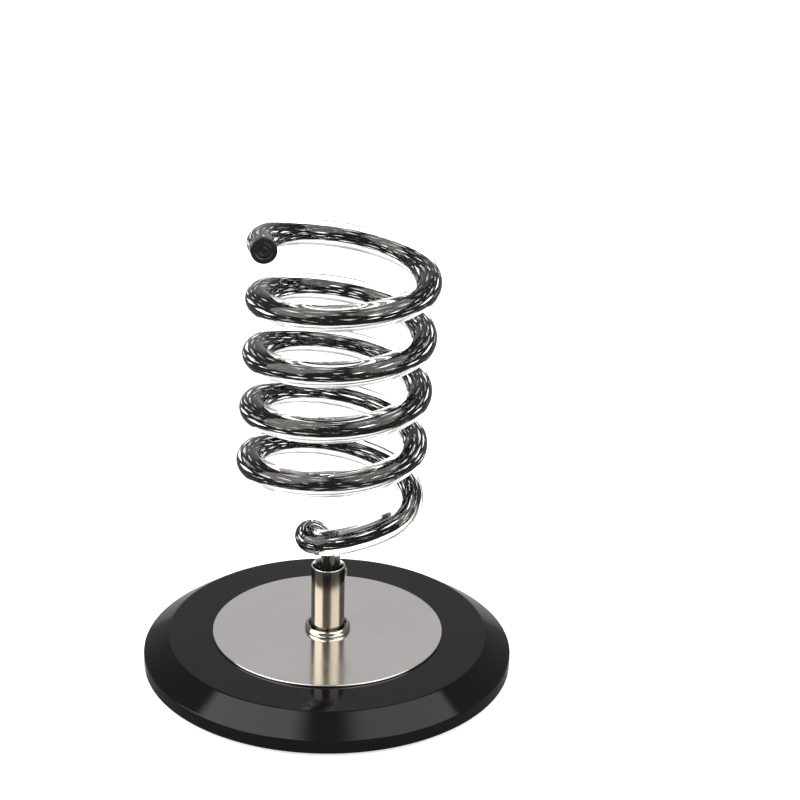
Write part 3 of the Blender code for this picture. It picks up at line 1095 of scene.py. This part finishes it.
def make_cap(coil, cap):
    """The dished cap with its spigot, on the free end."""
    gap = 0.3 * MM
    top = gap + cap.thickness
    dish_radius, dish_depth, dish_rise, dish_steps = 5.9 * MM, 0.5 * MM, 0.45 * MM, 36
    groove_depth, grooves, groove_start = 0.22 * MM, 2.5, 0.1
    rim, rim_sweep, rim_steps = 0.8 * MM, 100.0, 8
    edge = 0.1 * MM
    spigot_radius, spigot_length = 2.0 * MM, 4.0 * MM
    outline = []
    for i in range(dish_steps + 1):
        part = i / dish_steps
        wave = math.cos(math.tau * (part * grooves + groove_start))
        height = top - dish_depth + dish_rise * part**2 - groove_depth * max(0.0, wave) ** 2
        outline.append((dish_radius * part, height))
    for i in range(1, rim_steps + 1):
        angle = math.radians(rim_sweep - rim_sweep * i / rim_steps)
        outline.append(
            (
                coil.rod_radius - rim + rim * math.cos(angle),
                top - rim + rim * math.sin(angle),
            )
        )
    outline += [
        (coil.rod_radius, gap + edge),
        (coil.rod_radius - edge, gap),
        (spigot_radius, gap),
        (spigot_radius, gap - spigot_length),
        (0.0, gap - spigot_length),
    ]
    mesh = turned("end_cap", outline, 96)
    tip, way = free_end(coil)
    aim = way.to_track_quat("Z", "Y").to_matrix().to_4x4()
    mesh.transform(Matrix.Translation(tip) @ aim)
    place(mesh, "coil", "cap", cap_finish(cap), "tip_cap")


# Stage

# The studio's light, by direction: x is right, y is away from the camera and z is up.
# An edge is the two values between which the light fades
PANEL_SIDE_EDGE = (0.06, 0.24)
PANEL_REAR_EDGE = (-0.04, 0.04)
PANEL_FRONT_EDGE = (-0.76, -0.64)
PANEL_LOWER_EDGE = (0.04, 0.16)
REAR_SLANT = (-0.217, -1.167)  # a panel's rear edge is y = place - slant * z,
REAR_PLACE = (0.045, -0.632)  # here on the left and on the right
RIGHT_REACH = 0.11  # how much further forward the right panel comes
PANEL_STRENGTH = (1.15, 0.85)  # left and right
PANEL_COLOUR = (1.0, 0.965, 0.9, 1.0)
BACKDROP_EDGE = (0.37, 0.45)
BACKDROP_TOP = (0.7, 0.85)
ROOM_COLOUR = (1.0, 0.99, 1.0, 1.0)
SEEN_THROUGH = 1.1  # brightness of what shows through the clear rod
SEEN_REAR = (-0.1, 0.2)
SEEN_TOP = (0.3, 0.55)

FLOOR_RADIUS = 4.0
FLOOR_TOP = -0.4 * MM
FLOOR_UNDERSIDE = -20.0 * MM

# Where the camera stands and its turns, in radians; with the lens, they come from a fit
CAMERA_PLACE = (0.0, -1.07349, 0.60847)
CAMERA_YAW = -0.03747
CAMERA_DROP = 0.38755
CAMERA_ROLL = 0.02439


def by_side(tree, right, pair):
    """The first value of a pair on the left, and the second on the right."""
    return reckon(tree, "MULTIPLY_ADD", right, pair[1] - pair[0], pair[0])


def light_world(stage):
    """Two soft panels left and right over a dim room, and a bright backdrop behind."""
    world = bpy.data.worlds.new("studio")
    bpy.context.scene.world = world
    world.use_nodes = True
    tree = world.node_tree
    tree.nodes.clear()
    way = node(tree, "TexCoord").outputs["Generated"]
    apart = node(tree, "SeparateXYZ", {0: way}).outputs
    x, y, z = apart[0], apart[1], apart[2]
    side = reckon(tree, "ABSOLUTE", x)
    right = reckon(tree, "GREATER_THAN", x, 0.0)
    rear = reckon(tree, "MULTIPLY_ADD", z, by_side(tree, right, REAR_SLANT), y)
    rear = reckon(tree, "SUBTRACT", rear, by_side(tree, right, REAR_PLACE))
    front = reckon(tree, "MULTIPLY_ADD", right, RIGHT_REACH, y)
    panel = softly(tree, side, *PANEL_SIDE_EDGE)
    for factor in (
        softly(tree, rear, *PANEL_REAR_EDGE, 1.0, 0.0),
        softly(tree, front, *PANEL_FRONT_EDGE),
        softly(tree, z, *PANEL_LOWER_EDGE),
        by_side(tree, right, PANEL_STRENGTH),
    ):
        panel = reckon(tree, "MULTIPLY", panel, factor)
    spread = reckon(tree, "DIVIDE", side, reckon(tree, "MAXIMUM", y, 0.01))
    behind = softly(tree, spread, *BACKDROP_EDGE, 1.0, 0.0)
    sweep = reckon(tree, "MULTIPLY", behind, softly(tree, z, *BACKDROP_TOP, 1.0, 0.0))
    glow = reckon(tree, "MULTIPLY", panel, stage.panel_light)
    back = reckon(tree, "MULTIPLY", sweep, stage.backdrop_light)
    plain = reckon(tree, "ADD", back, stage.room_light)
    ray = node(tree, "LightPath").outputs
    through = reckon(tree, "MULTIPLY", softly(tree, y, *SEEN_REAR), SEEN_THROUGH)
    through = reckon(tree, "MULTIPLY", through, softly(tree, z, *SEEN_TOP, 1.0, 0.0))
    through = reckon(tree, "MULTIPLY", through, ray["Is Transmission Ray"])
    plain = reckon(tree, "MAXIMUM", plain, through)
    plain = reckon(tree, "MAXIMUM", plain, ray["Is Camera Ray"])
    glow = reckon(tree, "MULTIPLY", glow, reckon(tree, "SUBTRACT", 1.0, ray["Is Camera Ray"]))
    panels = node(tree, "Background", {"Color": PANEL_COLOUR, "Strength": glow})
    rest = node(tree, "Background", {"Color": ROOM_COLOUR, "Strength": plain})
    light = node(tree, "AddShader", {0: panels.outputs[0], 1: rest.outputs[0]})
    output = node(tree, "OutputWorld")
    tree.links.new(light.outputs[0], output.inputs["Surface"])


def make_stage(stage):
    """The pale floor, the light and the camera."""
    scene = bpy.context.scene
    scene.view_settings.view_transform = "Standard"
    outline = [
        (0.0, FLOOR_TOP),
        (FLOOR_RADIUS, FLOOR_TOP),
        (FLOOR_RADIUS, FLOOR_UNDERSIDE),
        (0.0, FLOOR_UNDERSIDE),
    ]
    floor_mesh = turned("floor", outline, 96)
    floor = bpy.data.objects.new("floor", floor_mesh)
    scene.collection.objects.link(floor)
    finish, tree, shader = new_finish("pale_floor", Roughness=0.9, Specular_IOR_Level=0.0)
    cloud = grain(tree, 2.0)
    colour = tinted(tree, cloud, shaded(stage.floor_colour, 0.99), stage.floor_colour)
    wire(tree, shader, Base_Color=colour, Emission_Color=colour)
    shader.inputs["Emission Strength"].default_value = 0.7
    floor_mesh.materials.append(finish)
    floor.visible_glossy = False

    light_world(stage)

    lens = bpy.data.cameras.new("camera")
    lens.lens = stage.lens
    lens.clip_start, lens.clip_end = 0.01, 20.0
    camera = bpy.data.objects.new("camera", lens)
    scene.collection.objects.link(camera)
    aim = (
        Matrix.Rotation(CAMERA_YAW, 4, "Z")
        @ Matrix.Rotation(math.pi / 2 - CAMERA_DROP, 4, "X")
        @ Matrix.Rotation(CAMERA_ROLL, 4, "Z")
    )
    camera.matrix_world = Matrix.Translation(CAMERA_PLACE) @ aim
    scene.camera = camera


# Operators


class HOLDER_OT_stage(bpy.types.Operator):
    """Set the floor, the light and the camera"""

    bl_idname = "holder.stage"
    bl_label = "Stage"

    def execute(self, context):
        make_stage(context.scene.holder.stage)
        return {"FINISHED"}


class HOLDER_OT_pad(bpy.types.Operator):
    """Build the foam pad under the base"""

    bl_idname = "holder.pad"
    bl_label = "Foam Pad"

    def execute(self, context):
        make_pad(context.scene.holder.pad)
        return {"FINISHED"}


class HOLDER_OT_base(bpy.types.Operator):
    """Build the black base disc"""

    bl_idname = "holder.base"
    bl_label = "Base Disc"

    def execute(self, context):
        make_base(context.scene.holder.base)
        return {"FINISHED"}


class HOLDER_OT_plate(bpy.types.Operator):
    """Build the steel plate on the base"""

    bl_idname = "holder.plate"
    bl_label = "Face Plate"

    def execute(self, context):
        make_plate(context.scene.holder.plate)
        return {"FINISHED"}


class HOLDER_OT_post(bpy.types.Operator):
    """Build the steel post and its collar"""

    bl_idname = "holder.post"
    bl_label = "Post and Collar"

    def execute(self, context):
        make_post(context.scene.holder.post)
        make_collar(context.scene.holder.post)
        return {"FINISHED"}


class HOLDER_OT_fasteners(bpy.types.Operator):
    """Finish the hidden weight, bolt, washers, plug and screws"""

    bl_idname = "holder.fasteners"
    bl_label = "Weight and Fasteners"

    def execute(self, context):
        screws = [f"ballast_screw_{number}" for number in range(1, 5)]
        anchors = ["anchor_bolt", "anchor_washer", "anchor_spring_washer", "post_plug"]
        dress(screws + anchors, zinc_finish())
        dress(["ballast_plate"], ballast_finish())
        return {"FINISHED"}


class HOLDER_OT_clamp(bpy.types.Operator):
    """Build the clamp screw, its washer and its insert"""

    bl_idname = "holder.clamp"
    bl_label = "Clamp Screw"

    def execute(self, context):
        make_clamp(context.scene.holder.clamp)
        return {"FINISHED"}


class HOLDER_OT_rod(bpy.types.Operator):
    """Build the clear rod"""

    bl_idname = "holder.rod"
    bl_label = "Clear Rod"

    def execute(self, context):
        make_rod(context.scene.holder.coil)
        return {"FINISHED"}


class HOLDER_OT_net(bpy.types.Operator):
    """Build the braided sleeve inside the rod"""

    bl_idname = "holder.net"
    bl_label = "Braided Sleeve"

    def execute(self, context):
        make_net(context.scene.holder.coil, context.scene.holder.net)
        return {"FINISHED"}


class HOLDER_OT_cap(bpy.types.Operator):
    """Build the cap on the rod's free end"""

    bl_idname = "holder.cap"
    bl_label = "End Cap"

    def execute(self, context):
        make_cap(context.scene.holder.coil, context.scene.holder.cap)
        return {"FINISHED"}


PIECES = (
    ("holder.pad", "pad"),
    ("holder.base", "base"),
    ("holder.plate", "plate"),
    ("holder.post", "post"),
    ("holder.fasteners", None),
    ("holder.clamp", "clamp"),
    ("holder.rod", "coil"),
    ("holder.net", "net"),
    ("holder.cap", "cap"),
    ("holder.stage", "stage"),
)


class HOLDER_PT_panel(bpy.types.Panel):
    """Lists the holder's pieces, each with its settings and its button"""

    bl_idname = "HOLDER_PT_panel"
    bl_label = "Dryer Holder"
    bl_space_type = "VIEW_3D"
    bl_region_type = "UI"
    bl_category = "Dryer Holder"

    def draw(self, context):
        for operator, group in PIECES:
            box = self.layout.box()
            if group:
                settings = getattr(context.scene.holder, group)
                for name in settings.__annotations__:
                    box.prop(settings, name)
            box.operator(operator)


CLASSES = (
    PadSettings,
    BaseSettings,
    PlateSettings,
    PostSettings,
    ClampSettings,
    CoilSettings,
    NetSettings,
    CapSettings,
    StageSettings,
    HolderSettings,
    HOLDER_OT_stage,
    HOLDER_OT_pad,
    HOLDER_OT_base,
    HOLDER_OT_plate,
    HOLDER_OT_post,
    HOLDER_OT_fasteners,
    HOLDER_OT_clamp,
    HOLDER_OT_rod,
    HOLDER_OT_net,
    HOLDER_OT_cap,
    HOLDER_PT_panel,
)


def register():
    for cls in CLASSES:
        bpy.utils.register_class(cls)
    bpy.types.Scene.holder = PointerProperty(type=HolderSettings)


def unregister():
    del bpy.types.Scene.holder
    for cls in reversed(CLASSES):
        bpy.utils.unregister_class(cls)


def main():
    register()
    for operator, _ in PIECES:
        space, name = operator.split(".")
        getattr(getattr(bpy.ops, space), name)()


if __name__ == "__main__":
    main()
